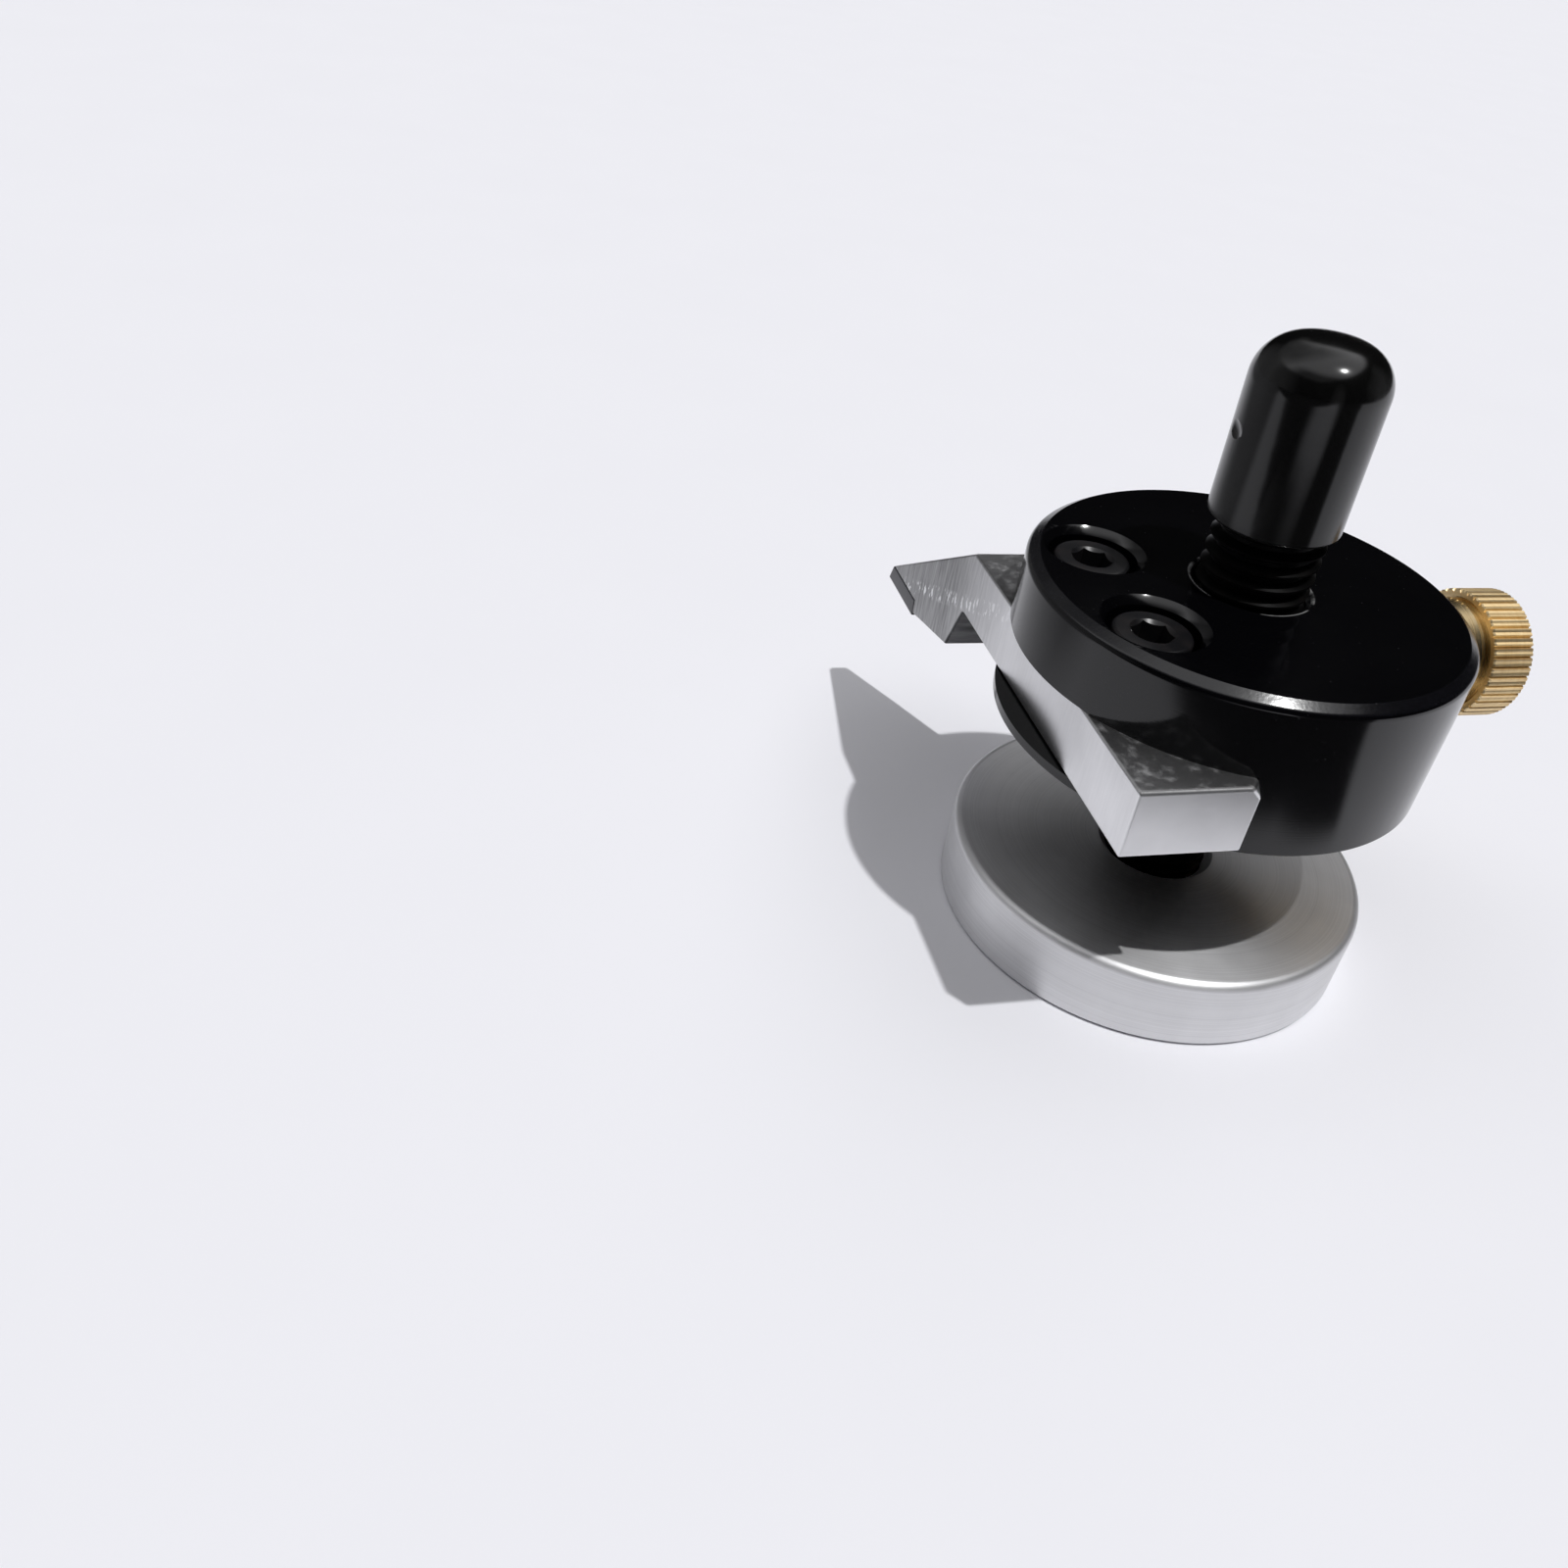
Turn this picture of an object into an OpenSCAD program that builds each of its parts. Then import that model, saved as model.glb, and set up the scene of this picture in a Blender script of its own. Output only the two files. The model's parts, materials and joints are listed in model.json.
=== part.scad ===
// Adjustable centre scribe: a turned base carries a threaded post, and a round body that screws up
// and down the post holds a scriber bar in a side slot. A knurled screw locks the body on the post.
// Origin: middle of the base's underside. +X points to the knurled screw, +Y to the scriber's point.

/* [Base] */
// Diameter of the round base
base_d = 50; // [44:0.5:64]
// Height of the base
base_h = 9.4; // [7:0.1:16]
// Rounding of the base's upper rim
base_rim_r = 1; // [0.3:0.1:2]
// Chamfer round the base's underside
base_foot = 0.4; // [0.2:0.1:1]
// Countersink of the tapped hole on the base's top face
base_mouth = 1; // [0.3:0.1:1.5]
// Thickness left below the tapped hole
base_floor = 1.4; // [0.8:0.1:2.5]

/* [Post] */
// Outside diameter of the post's thread
post_d = 12; // [9:0.5:13]
// Length of the post
post_len = 67; // [60:0.5:88]
// Pitch of the post's thread
thread_pitch = 1.75; // [1:0.25:2]
// Chamfer on both ends of the post
post_end = 1.2; // [0.5:0.1:2]
// Room between the post's lower end and the bottom of its hole
post_seat = 0.1; // [0.05:0.05:0.5]
// Radial play between the post's thread crests and the holes that it screws into
thread_play = 0.05; // [0.02:0.01:0.08]

/* [End cap] */
// Length of the push-on cap
cap_len = 19.1; // [14:0.1:22]
// Thickness of the cap's side
cap_wall = 0.9; // [0.8:0.05:2]
// Thickness of the cap's closed end
cap_roof = 1.6; // [1:0.1:3]
// Height of the hollow's narrowing end above the post
cap_crown = 2.1; // [1:0.1:3]
// Rounding of the cap's closed end
cap_round = 4.5; // [3:0.1:5.5]
// Chamfer round the cap's open end
cap_lip = 0.2; // [0.1:0.05:0.5]

/* [Body] */
// Diameter of the body
body_d = 48.5; // [46:0.5:60]
// Height of the body's underside above the base
body_lift = 17.9; // [8:0.1:20]
// Thickness of the flange below the scriber bar
flange_h = 1.3; // [0.8:0.1:3]
// Thickness of the body above the scriber bar
roof_h = 8.7; // [7.5:0.1:14]
// Rounding of the body's upper rim
body_rim_r = 1; // [0.3:0.1:2]
// Chamfer round the body's underside
body_foot = 0.3; // [0.1:0.1:0.6]
// Countersink of the body's tapped hole, on both faces
body_mouth = 0.6; // [0.2:0.1:1]
// Play below and behind the bar in its slot
slot_play = 0.1; // [0.05:0.05:0.3]

/* [Scriber] */
// Width of the bar
bar_w = 13.5; // [10:0.5:14]
// Thickness of the bar
bar_t = 8; // [5:0.1:12]
// Distance of the bar's outer face inside the body's rim
bar_inset = 2.4; // [1:0.1:3]
// Distance from the post's axis back to the bar's square end
bar_tail = 24.3; // [20:0.1:40]
// Distance from the post's axis forward to the start of the slope
bar_reach = 22.8; // [18:0.1:40]
// Length of the slope, from its start to the top of the nose
slope_len = 25.5; // [20:0.1:34]
// Depth of the point below the bar's top face
point_drop = 17.8; // [14:0.1:20]
// Distance that the point stands out ahead of the top of the nose
nose_rake = 1.1; // [0.3:0.1:2]
// Depth of the heel below the bar's top face
heel_drop = 14.6; // [12.5:0.1:15.5]
// Distance from the start of the slope to the heel
heel_len = 3.1; // [1:0.1:6]
// Distance from the start of the slope to where the far side begins to narrow
taper_start = 5; // [2:0.5:12]
// Width left at the nose
nose_w = 2.4; // [1.5:0.1:6]

/* [Carbide tip] */
// Length of the brazed tip along its flat underside
tip_len = 10.9; // [6:0.1:14]
// Thickness of the brazed tip
tip_t = 2.3; // [1.2:0.1:2.6]
// Depth by which the tip stands below the steel behind it
tip_proud = 0.4; // [0.1:0.1:0.8]

/* [Clamp screws] */
// Thread diameter of the clamp screws
clamp_d = 5; // [3:0.5:6]
// Distance between the two screws
clamp_gap = 15.6; // [12:0.1:20]
// Diameter of a screw head
clamp_head_d = 8.5; // [7:0.1:9]
// Height of a screw head
clamp_head_h = 5; // [3:0.1:5.5]
// Hexagon socket size across flats
clamp_hex = 4; // [2.5:0.5:5]
// Depth of the hexagon socket
clamp_hex_h = 2.6; // [1.5:0.1:3]
// Depth of the head's top below the body's top face
clamp_recess = 1; // [0.2:0.1:1.5]
// Radial room round the head in its counterbore
clamp_room = 0.7; // [0.3:0.1:1]
// Chamfer of the counterbore's mouth
clamp_mouth = 0.8; // [0.2:0.1:1]
// Radial room round the shank in the body
clamp_shank_room = 0.25; // [0.1:0.05:0.4]
// Distance from a screw's end to the bar's underside
clamp_end = 2.7; // [1:0.1:3.5]

/* [Knurled screw] */
// Thread diameter of the knurled screw
lock_d = 5; // [4:0.5:6]
// Diameter over the knurl
knob_d = 14.9; // [14.2:0.1:20]
// Width of the knurled ring
knob_w = 5.2; // [3:0.1:8]
// Number of ridges in the knurl
knurl_count = 40; // [24:2:60]
// Depth of the knurl
knurl_depth = 0.5; // [0.2:0.1:0.8]
// Diameter of the plain collar
collar_d = 13; // [8:0.1:13.2]
// Width of the plain collar
collar_w = 4.8; // [2:0.1:8]
// Distance from the collar to the body while the screw is tight
collar_gap = 0.5; // [0.3:0.1:1.5]
// Length of the soft pad between the screw and the post
pad_len = 3; // [1.5:0.1:5]
// Radial play of the screw and its pad in their hole
lock_play = 0.05; // [0.02:0.01:0.08]

/* [Hidden] */
$fn = 96;

// Depth of a metric thread's flank for each unit of pitch, and the share of the pitch that is crest
thread_form = 0.5413;
crest_share = 0.125;
// Overshoot of every cut past the face that it opens on
cut = 1;

post_r = post_d / 2;
post_z = base_floor + post_seat;
post_top = post_z + post_len;
bore_r = post_r + thread_play;
base_r = base_d / 2;

body_r = body_d / 2;
body_z = base_h + body_lift;
bar_z = body_z + flange_h + slot_play;
bar_top = bar_z + bar_t;
body_top = bar_top + roof_h;
body_h = body_top - body_z;

// The bar's faces across the slot, towards -X
bar_outer = body_r - bar_inset;
bar_inner = bar_outer - bar_w;
bar_mid = (bar_outer + bar_inner) / 2;

// Heights of the scriber's profile, and its places along Y
point_z = bar_top - point_drop;
nose_z = point_z + tip_t;
nose_y = bar_reach + slope_len;
point_y = nose_y + nose_rake;
tip_back_y = point_y - tip_len;

head_z = body_top - clamp_recess - clamp_head_h;
clamp_counterbore_r = clamp_head_d / 2 + clamp_room;
lock_z = body_z + body_h / 2;
lock_r = lock_d / 2 - lock_play;
pad_x = post_r + lock_play;
stud_x = pad_x + pad_len;
collar_x = body_r + collar_gap;
knurl_x = collar_x + collar_w;

// Half section of a turned disc with a rounded upper rim and a chamfered lower one
module disc_section(r, h, rim, foot) {
    translate([0, foot])
        square([r - rim, h - foot]);
    translate([0, foot])
        square([r, h - rim - foot]);
    translate([r - rim, h - rim])
        intersection() {
            circle(rim);
            square(rim);
        }
    polygon([[0, 0], [r - foot, 0], [r, foot], [0, foot]]);
}

// The countersunk mouth of a tapped hole that opens upwards at height 0
module countersink(depth) {
    translate([0, 0, -depth])
        cylinder(r1 = bore_r, r2 = bore_r + depth + cut, h = depth + cut);
}

// Places its children at both clamp screws
module at_clamp_screws() {
    for (side = [-1, 1])
        translate([-bar_mid, side * clamp_gap / 2, 0])
            children();
}

// Turns its children, drawn along +Z, to lie along +X at the knurled screw's height
module along_lock() {
    translate([0, 0, lock_z])
        rotate([0, 90, 0])
            children();
}

module base() {
    color("silver")
        difference() {
            rotate_extrude()
                disc_section(base_r, base_h, base_rim_r, base_foot);
            translate([0, 0, base_floor])
                cylinder(r = bore_r, h = base_h - base_floor + cut);
            translate([0, 0, base_h])
                countersink(base_mouth);
        }
}

// The thread is drawn as parallel ridges at its pitch
module post() {
    root_r = post_r - thread_form * thread_pitch;
    first = post_z + post_end;
    turns = floor((post_len - 2 * post_end) / thread_pitch);
    half_crest = crest_share * thread_pitch / 2;
    half_flank = thread_form * thread_pitch * tan(30);
    end_r = root_r - post_end / 2;
    ridges = [
        for (turn = [0 : turns - 1])
            let (middle = first + (turn + 0.5) * thread_pitch)
                each [
                    [root_r, middle - half_crest - half_flank],
                    [post_r, middle - half_crest],
                    [post_r, middle + half_crest],
                    [root_r, middle + half_crest + half_flank]
                ]
    ];
    color([0.1, 0.1, 0.11])
        rotate_extrude()
            polygon(concat(
                [[0, post_z], [end_r, post_z], [root_r, post_z + post_end / 2]],
                ridges,
                [[root_r, post_top - post_end / 2], [end_r, post_top], [0, post_top]]
            ));
}

module end_cap() {
    cap_z = post_top + cap_crown + cap_roof - cap_len;
    straight = post_top - cap_z;
    color([0.06, 0.06, 0.06])
        translate([0, 0, cap_z])
            difference() {
                rotate_extrude()
                    disc_section(bore_r + cap_wall, cap_len, cap_round, cap_lip);
                translate([0, 0, -cut])
                    cylinder(r = bore_r, h = straight + cut);
                translate([0, 0, straight])
                    cylinder(r1 = bore_r, r2 = bore_r - cap_crown, h = cap_crown);
            }
}

module body() {
    slot_back = bar_inner - slot_play;
    color([0.12, 0.12, 0.13])
        difference() {
            translate([0, 0, body_z])
                rotate_extrude()
                    disc_section(body_r, body_h, body_rim_r, body_foot);
            translate([0, 0, body_z - cut])
                cylinder(r = bore_r, h = body_h + 2 * cut);
            translate([0, 0, body_top])
                countersink(body_mouth);
            translate([0, 0, body_z])
                mirror([0, 0, 1])
                    countersink(body_mouth);
            translate([-slot_back - body_r, -body_r, body_z + flange_h])
                cube([body_r, body_d, bar_top - body_z - flange_h]);
            at_clamp_screws() {
                translate([0, 0, bar_top - cut])
                    cylinder(d = clamp_d + 2 * clamp_shank_room, h = roof_h + 2 * cut);
                translate([0, 0, head_z])
                    cylinder(r = clamp_counterbore_r, h = body_top - head_z + cut);
                translate([0, 0, body_top - clamp_mouth])
                    cylinder(
                        r1 = clamp_counterbore_r,
                        r2 = clamp_counterbore_r + clamp_mouth + cut,
                        h = clamp_mouth + cut
                    );
            }
            along_lock()
                cylinder(d = lock_d, h = body_d);
        }
}

// Everything between the scriber's outer face and its narrowing far side, seen from above
module scriber_plan() {
    linear_extrude(height = bar_top)
        polygon([
            [-bar_outer, -bar_tail],
            [-bar_inner, -bar_tail],
            [-bar_inner, bar_reach + taper_start],
            [-bar_outer + nose_w, point_y],
            [-bar_outer, point_y]
        ]);
}

// Stands a profile, drawn in Y and Z, across the scriber's whole width
module across_scriber() {
    translate([-bar_outer, 0, 0])
        rotate([90, 0, 90])
            linear_extrude(height = bar_w)
                children();
}

module scriber_bar() {
    color([0.72, 0.73, 0.74])
        difference() {
            intersection() {
                scriber_plan();
                across_scriber()
                    polygon([
                        [-bar_tail, bar_z],
                        [bar_reach, bar_z],
                        [bar_reach + heel_len, bar_top - heel_drop],
                        [tip_back_y, point_z + tip_proud],
                        [tip_back_y, nose_z],
                        [nose_y, nose_z],
                        [bar_reach, bar_top],
                        [-bar_tail, bar_top]
                    ]);
            }
            at_clamp_screws()
                translate([0, 0, bar_z - cut])
                    cylinder(d = clamp_d + 2 * thread_play, h = bar_t + 2 * cut);
        }
}

module carbide_tip() {
    color([0.4, 0.41, 0.43])
        intersection() {
            scriber_plan();
            across_scriber()
                polygon([[tip_back_y, point_z], [point_y, point_z], [nose_y, nose_z], [tip_back_y, nose_z]]);
        }
}

module clamp_screws() {
    shank_z = bar_z + clamp_end;
    color([0.09, 0.09, 0.1])
        at_clamp_screws()
            difference() {
                union() {
                    translate([0, 0, head_z])
                        cylinder(d = clamp_head_d, h = clamp_head_h);
                    translate([0, 0, shank_z])
                        cylinder(d = clamp_d, h = head_z - shank_z + cut);
                }
                translate([0, 0, head_z + clamp_head_h - clamp_hex_h])
                    cylinder(r = clamp_hex / sqrt(3), h = clamp_hex_h + cut, $fn = 6);
            }
}

module thumb_screw() {
    knurl = [
        for (corner = [0 : 2 * knurl_count - 1])
            let (
                angle = 180 * corner / knurl_count,
                r = knob_d / 2 - (corner % 2) * knurl_depth
            )
                [r * cos(angle), r * sin(angle)]
    ];
    color([0.8, 0.64, 0.32])
        along_lock() {
            translate([0, 0, stud_x])
                cylinder(r = lock_r, h = collar_x - stud_x + cut);
            translate([0, 0, collar_x])
                cylinder(d = collar_d, h = collar_w);
            translate([0, 0, knurl_x])
                linear_extrude(height = knob_w)
                    polygon(knurl);
        }
}

module lock_pad() {
    color("ivory")
        along_lock()
            translate([0, 0, pad_x])
                cylinder(r = lock_r, h = pad_len);
}

base();
post();
end_cap();
body();
scriber_bar();
carbide_tip();
clamp_screws();
thumb_screw();
lock_pad();
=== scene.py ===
"""Adjustable centre scribe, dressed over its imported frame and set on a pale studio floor."""
import json
import math
from collections import namedtuple

import bmesh
import bpy
from bpy.props import FloatProperty, FloatVectorProperty, IntProperty, PointerProperty
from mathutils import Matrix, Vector


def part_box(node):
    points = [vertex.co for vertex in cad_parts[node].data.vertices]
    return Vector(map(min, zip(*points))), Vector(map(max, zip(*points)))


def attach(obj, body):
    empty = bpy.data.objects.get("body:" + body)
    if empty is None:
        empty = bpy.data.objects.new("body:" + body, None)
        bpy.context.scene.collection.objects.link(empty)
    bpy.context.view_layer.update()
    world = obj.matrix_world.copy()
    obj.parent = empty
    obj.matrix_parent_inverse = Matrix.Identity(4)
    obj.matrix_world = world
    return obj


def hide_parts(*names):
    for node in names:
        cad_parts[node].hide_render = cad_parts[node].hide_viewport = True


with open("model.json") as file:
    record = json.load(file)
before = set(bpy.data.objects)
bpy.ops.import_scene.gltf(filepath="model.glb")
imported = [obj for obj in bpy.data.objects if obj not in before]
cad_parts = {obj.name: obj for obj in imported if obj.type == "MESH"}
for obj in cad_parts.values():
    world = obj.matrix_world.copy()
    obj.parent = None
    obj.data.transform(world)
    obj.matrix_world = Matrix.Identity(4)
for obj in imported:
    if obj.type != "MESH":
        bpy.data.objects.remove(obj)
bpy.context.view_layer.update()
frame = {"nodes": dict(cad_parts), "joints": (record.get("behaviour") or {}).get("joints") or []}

bl_info = {
    "name": "Centre Scribe",
    "version": (1, 0, 0),
    "blender": (4, 5, 0),
    "location": "3D View > Sidebar > Scribe",
    "description": "Dresses the frame of an adjustable centre scribe and sets up its studio",
    "category": "Object",
}

MM = 0.001
# Vertices closer than this are one vertex
WELD = 0.001 * MM
# Sides of a full turn on the large discs, on the small round pieces and on a thread
DISC_STEPS = 192
SMALL_STEPS = 96
THREAD_STEPS = 64
# A metric thread's depth, and the places of its flanks and crest, as shares of its pitch
THREAD_DEPTH = 0.5413
ROOT_SHARE = 0.25
FLANK_SHARE = 0.3125
CREST_SHARE = 0.125
# Turns of a thread past its two ends, which are cut off square
SPARE_TURNS = 2
# Slope at which the cap's round shoulder runs into its crown, in degrees, and the crown's drawn steps
CROWN_SLOPE = 9
CROWN_STEPS = 5
# Corners of one ridge of the knurl: a groove, a flank on both sides, and a fine line in the middle
RIDGE_SIDES = 6
# The band of glints on the hook: a place along it, its height there and its fall along Y
GLINT_Y = 25.6 * MM
GLINT_Z = 28.8 * MM
GLINT_FALL = 0.43
# Rise of the sockets' countersinks for each unit of radius
SINK_SLOPE = 0.75
# Edges sharper than this stay sharp in the shading
SMOOTH_ANGLE = math.radians(32)
# Overshoot of a cutting shape past the face that it opens on, and overlap of shapes that are joined
OVERSHOOT = 2 * MM
LAP = 1 * MM

# Where a mark on a finish starts and where it is full: below the body's sloping flat, beside and below the
# mouth of the body's tapped hole, whose rubbed edge also has a painted highlight, and outside the brass
# collar
RIM_SCUFF = (0.08 * MM, 0.03 * MM)
MOUTH_WEAR_AND_GLINT = (0.24 * MM, 0.1 * MM)
MOUTH_DEPTH = (0.3 * MM, 0.2 * MM)
KNURL_DULL = (0.1 * MM, 0.3 * MM)
# The same on the bar: along the duller hook with its painted shade, behind its near face, where that shade
# is deepest, below its top, at its rubbed end edge, also painted darker, beside the heel's plane and below
# the bar's underside, where painted shade darkens the heel's face, and beside the band of painted glints
HOOK_DULL_AND_SHADE = (8 * MM, 28 * MM)
NEAR_FACE_SHADE = (0.3 * MM, 0.1 * MM)
TOP_SCUFF = (0.2 * MM, 0.1 * MM)
END_WEAR_AND_SHADE = (0.5 * MM, 0.3 * MM)
HEEL_SHADE = (0.3 * MM, 0.1 * MM)
HEEL_DEPTH = (0, 0.2 * MM)
GLINT_BAND = (1.2 * MM, 0.2 * MM)

# A soft edge: how its measure grows along each part of a place or heading, and where it starts and is full
Edge = namedtuple("Edge", "growth start full")
# Sides of the studio floor
FLOOR_SIZE = 12
# Edges, along X and Y, of the floor's painted shade, which only glossy faces see: in front with a paler
# window, and left
FRONT_NEAR = (
    Edge((0, -1), 68 * MM, 76 * MM),
    Edge((0.6, -1), 74 * MM, 82 * MM),
    Edge((-0.2, -1), 76.6 * MM, 84.6 * MM),
)
FRONT_RIGHT = (Edge((1, 0.84), -10 * MM, -15 * MM), Edge((1, 0.5), 18 * MM, 13 * MM))
FRONT_WINDOW = (
    Edge((0.3, 1), -176 * MM, -186 * MM),
    Edge((1, 0), 20 * MM, 0),
    Edge((1, 0), -125 * MM, -95 * MM),
)
LEFT_PATCH = (Edge((0, 1), 10 * MM, 40 * MM), Edge((1, 0), -30 * MM, -110 * MM))
# What is left of the floor's colour in its painted shade, and how much of that shade the left patch has
FLOOR_DARK = 0.04
LEFT_SHARE = 0.75
# Edges of the room, along headings away from the camera, to the left and up, and of its beam, along X, Y
# and Z
CEILING = (Edge((0.08, 0, 1), 0.56, 0.64), Edge((0.08, 0.42, 1), 0.56, 0.64))
ABOVE_CAMERA = (Edge((1, 0, 0), -0.2, -0.5), Edge((0, 0, 1), 0.92, 0.8))
LEFT_WALL = Edge((0, 1, 0), 0.5, 0.85)
BEAM = Edge((-0.15, 0.8, 0.6), 0.7, 0.94)
# How much of the ceiling's light is missing above the camera and at the beam
CAMERA_SHADE = 0.85
BEAM_SHADE = 0.9
# Width of the camera's sensor in millimetres
SENSOR_WIDTH = 36

# A turning axis: a point on it, its direction, and the direction in which radius is drawn
Axis = namedtuple("Axis", "centre along out")
UPRIGHT = Axis(Vector((0, 0, 0)), Vector((0, 0, 1)), Vector((1, 0, 0)))
LOCK_JOINT = next(joint for joint in frame["joints"] if joint["name"] == "lock_turn")
LOCK_Z = LOCK_JOINT["pos_m"][2]
CROSSWISE = Axis(Vector((0, 0, LOCK_Z)), Vector((1, 0, 0)), Vector((0, 1, 0)))


def length(label, text, size):
    """A property that holds a length, given in millimetres."""
    return FloatProperty(
        name=label, description=text, default=size * MM, min=0.0, precision=5, unit="LENGTH"
    )


def colour(label, text, value):
    """A property that holds a colour."""
    return FloatVectorProperty(
        name=label, description=text, default=value, min=0.0, max=1.0, size=3, subtype="COLOR"
    )


class ScribeSizes(bpy.types.PropertyGroup):
    """Sizes that the boxes of the frame's nodes don't give."""

    base_rim: length("Base rim", "Rounding of the base's upper rim", 1.0)
    body_rim: length("Body rim", "Rounding of the body's upper rim below its flat", 0.9)
    body_flat_width: length("Body flat width", "Width of the sloping flat round the body's upper rim", 0.85)
    body_flat_height: length("Body flat height", "Height of that flat", 0.56)
    base_foot: length("Base foot", "Chamfer round the base's underside", 0.4)
    base_mouth: length("Base mouth", "Countersink of the base's tapped hole", 1.0)
    base_floor: length("Base floor", "Thickness left below the base's tapped hole", 1.4)
    body_foot: length("Body foot", "Chamfer round the body's underside", 0.3)
    body_mouth: length("Body mouth", "Countersink of the body's tapped hole", 0.6)
    bore: length("Bore", "Radius of the tapped holes round the post", 6.05)
    edge_break: length("Edge break", "Softening of the body's cut edges", 0.12)
    post_pitch: length("Post pitch", "Pitch of the post's thread", 1.75)
    post_end: length("Post end", "Chamfer on both ends of the post", 1.2)
    cap_round: length("Cap rounding", "Rounding of the cap's closed end", 4.5)
    cap_roof: length("Cap roof", "Thickness of the cap's closed end", 1.6)
    cap_crown: length("Cap crown", "Height of the hollow's narrowing end above the post", 2.1)
    cap_lean: FloatVectorProperty(
        name="Cap lean",
        description="How far the dipped skin leans along X and Y for each unit of height",
        default=(-0.0248, 0.0056),
        size=2,
    )
    cap_lip: length("Cap lip", "Rounding of the cap's open end", 0.3)
    nick_height: length("Nick height", "Height of the nick in the cap's side", 62.2)
    nick_radius: length("Nick radius", "Radius of the flat ball that fits the nick", 6.0)
    nick_depth: length("Nick depth", "Depth of the nick", 0.3)
    nick_flat: FloatProperty(
        name="Nick flat", description="Height of that ball as a share of its width", default=0.5
    )
    nick_turn: FloatProperty(
        name="Nick turn",
        description="Where the nick lies round the cap, from the X axis",
        default=math.radians(170),
        subtype="ANGLE",
    )
    flange: length("Flange", "Thickness of the flange below the bar", 1.3)
    slot_play: length("Slot play", "Play behind the bar in its slot", 0.1)
    bar_thickness: length("Bar thickness", "Thickness of the scriber bar", 8.0)
    bar_reach: length("Bar reach", "Distance from the post's axis to the start of the slope", 22.8)
    heel_drop: length("Heel drop", "Depth of the heel below the bar's top face", 14.6)
    heel_length: length("Heel length", "Distance from the start of the slope to the heel", 3.1)
    taper_start: length("Taper start", "Distance from the slope's start to the taper", 5.0)
    nose_width: length("Nose width", "Width left at the scriber's nose", 2.4)
    bar_edge: length("Bar edge", "Broken edges of the scriber bar", 0.3)
    bar_knock: length("Bar knock", "Depth of the facet on the bar's knocked corner", 0.8)
    tip_edge: length("Tip edge", "Broken edges of the brazed tip", 0.18)
    tip_proud: length("Tip proud", "Depth of the tip below the steel behind it", 0.4)
    counterbore: length("Counterbore", "Radius of the counterbores", 4.95)
    counterbore_mouth: length("Counterbore mouth", "Chamfer of the counterbores", 0.8)
    shank_hole: length("Shank hole", "Radius of the holes round the clamp screws", 2.75)
    thread_play: length("Thread play", "Radial play round the clamp screws' threads", 0.05)
    clamp_gap: length("Clamp gap", "Distance between the clamp screws", 15.6)
    clamp_thread: length("Clamp thread", "Radius of the clamp screws' thread", 2.5)
    clamp_head: length("Clamp head", "Height of the clamp screws' heads", 5.0)
    clamp_round: length("Clamp rounding", "Rounding of the heads' upper edges", 0.45)
    hex_flats: length("Hexagon", "Size of the sockets across flats", 4.0)
    hex_depth: length("Hexagon depth", "Depth of the sockets", 2.6)
    hex_mouth: length("Hexagon mouth", "Radius of the sockets' countersinks", 2.45)
    fine_pitch: length("Fine pitch", "Pitch of the clamp screws and the knurled screw", 0.8)
    lock_thread: length("Lock thread", "Radius of the knurled screw's thread", 2.45)
    lock_hole: length("Lock hole", "Radius of the hole for the knurled screw", 2.5)
    collar_gap: length("Collar gap", "Distance from the collar to the body", 0.5)
    collar_radius: length("Collar radius", "Radius of the plain collar", 6.5)
    collar_width: length("Collar width", "Width of the plain collar", 4.8)
    collar_edge: length("Collar edge", "Chamfer on both ends of the plain collar", 0.2)
    neck_width: length("Neck width", "Width of the groove between collar and knurl", 0.8)
    neck_depth: length("Neck depth", "Depth of the groove between collar and knurl", 0.4)
    knurl_depth: length("Knurl depth", "Depth of the knurl's grooves", 0.42)
    knurl_line: length("Knurl line", "Depth of the fine line along each ridge", 0.1)
    knurl_chamfer: length("Knurl chamfer", "Chamfer on both ends of the knurl", 0.15)
    knurl_count: IntProperty(name="Knurl count", description="Ridges round the knurl", default=40, min=12)


class ScribeColours(bpy.types.PropertyGroup):
    """Colours of the finishes."""

    aluminium: colour("Aluminium", "The turned base", (0.78, 0.78, 0.79))
    body: colour("Body", "The black body", (0.0015, 0.0015, 0.002))
    # Partly wear, partly painted highlight: a light grey for the rubbed edge round the body's hole, standing
    # also for the glints on its chamfer
    wear_and_painted_light: colour("Worn", "The body's worn edges", (0.2, 0.2, 0.2))
    vinyl: colour("Vinyl", "The cap", (0.003, 0.003, 0.003))
    oxide: colour("Oxide", "The clamp screws", (0.006, 0.006, 0.007))
    # Painted shade: a darker copy of the screws' oxide for the post, whose thread lies in shade under the
    # cap and the body
    shaded_post: colour("Oiled", "The post's oily thread", (0.002, 0.002, 0.002))
    steel: colour("Steel", "The ground scriber bar", (0.79, 0.79, 0.80))
    carbide: colour("Carbide", "The brazed tip", (0.10, 0.10, 0.105))
    brass: colour("Brass", "The knurled screw", (0.84, 0.66, 0.38))
    nylon: colour("Nylon", "The pad behind the knurled screw", (0.80, 0.78, 0.70))
    floor: colour("Floor", "The studio floor", (0.86, 0.86, 0.90))
    room: colour("Room", "The light of the room", (0.98, 0.98, 1.0))


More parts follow.
